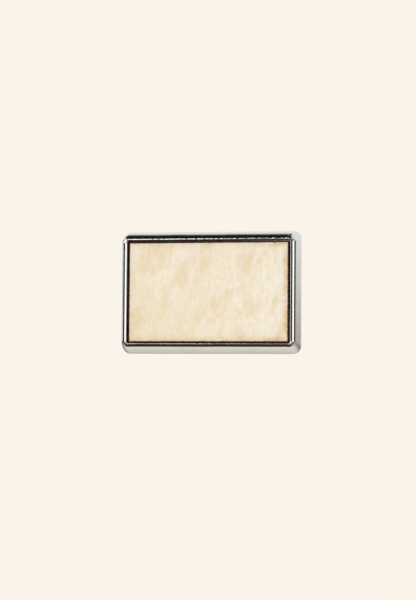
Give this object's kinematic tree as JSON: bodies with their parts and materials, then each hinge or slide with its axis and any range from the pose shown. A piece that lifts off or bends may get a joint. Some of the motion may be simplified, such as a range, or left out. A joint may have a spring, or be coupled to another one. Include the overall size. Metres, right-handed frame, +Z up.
{
  "type": "lapel badge",
  "caption": "Rectangular lapel badge: a polished cast metal tray with a rounded rim around a blank birch panel, and posts with butterfly clutches on the back.",
  "frame": {"origin": "centre of the tray's flat back face, between the posts", "axes": "+X to the right as seen from the display side, along the long side; +Y out of the back, along the posts; +Z up"},
  "size_m": [0.03, 0.0133, 0.0202],
  "materials": {
    "plating": "polished nickel plating",
    "birch": "raw, sanded, edges charred by a laser",
    "film": "translucent",
    "solder": "dull tin",
    "post": "drawn",
    "cup": "barrel plated",
    "spring": "rolled"
  },
  "bodies": {
    "badge": {"tray": "plating", "adhesive_film": "film", "back_veneer": "birch", "core_veneer": "birch", "face_veneer": "birch", "left_solder": "solder", "right_solder": "solder", "left_post": "post", "right_post": "post"},
    "left_clutch": {"left_cup": "cup", "left_spring": "spring"},
    "left_upper_wing": {"left_upper_wing": "spring"},
    "left_lower_wing": {"left_lower_wing": "spring"},
    "right_clutch": {"right_cup": "cup", "right_spring": "spring"},
    "right_upper_wing": {"right_upper_wing": "spring"},
    "right_lower_wing": {"right_lower_wing": "spring"}
  },
  "joints": [
    {"name": "left_clutch_slide", "type": "slide", "parent": "badge", "child": "left_clutch", "axis": [0, 1, 0], "range_m": [-0.0024, 0.0056]},
    {"name": "left_upper_wing_pinch", "type": "hinge", "parent": "left_clutch", "child": "left_upper_wing", "pos_m": [-0.008, 0.00405, -0.00436], "axis": [-1, 0, 0], "range_deg": [0, 12], "stiffness_Nm_per_rad": 0.0005},
    {"name": "left_lower_wing_pinch", "type": "hinge", "parent": "left_clutch", "child": "left_lower_wing", "pos_m": [-0.008, 0.00405, 0.00436], "axis": [1, 0, 0], "range_deg": [0, 12], "stiffness_Nm_per_rad": 0.0005},
    {"name": "right_clutch_slide", "type": "slide", "parent": "badge", "child": "right_clutch", "axis": [0, 1, 0], "range_m": [-0.0024, 0.0056]},
    {"name": "right_upper_wing_pinch", "type": "hinge", "parent": "right_clutch", "child": "right_upper_wing", "pos_m": [0.008, 0.00405, -0.00436], "axis": [-1, 0, 0], "range_deg": [0, 12], "stiffness_Nm_per_rad": 0.0005},
    {"name": "right_lower_wing_pinch", "type": "hinge", "parent": "right_clutch", "child": "right_lower_wing", "pos_m": [0.008, 0.00405, 0.00436], "axis": [1, 0, 0], "range_deg": [0, 12], "stiffness_Nm_per_rad": 0.0005}
  ],
  "couplings": [
    {"joint": "left_lower_wing_pinch", "follows": "left_upper_wing_pinch", "ratio": 1},
    {"joint": "right_lower_wing_pinch", "follows": "right_upper_wing_pinch", "ratio": 1}
  ]
}
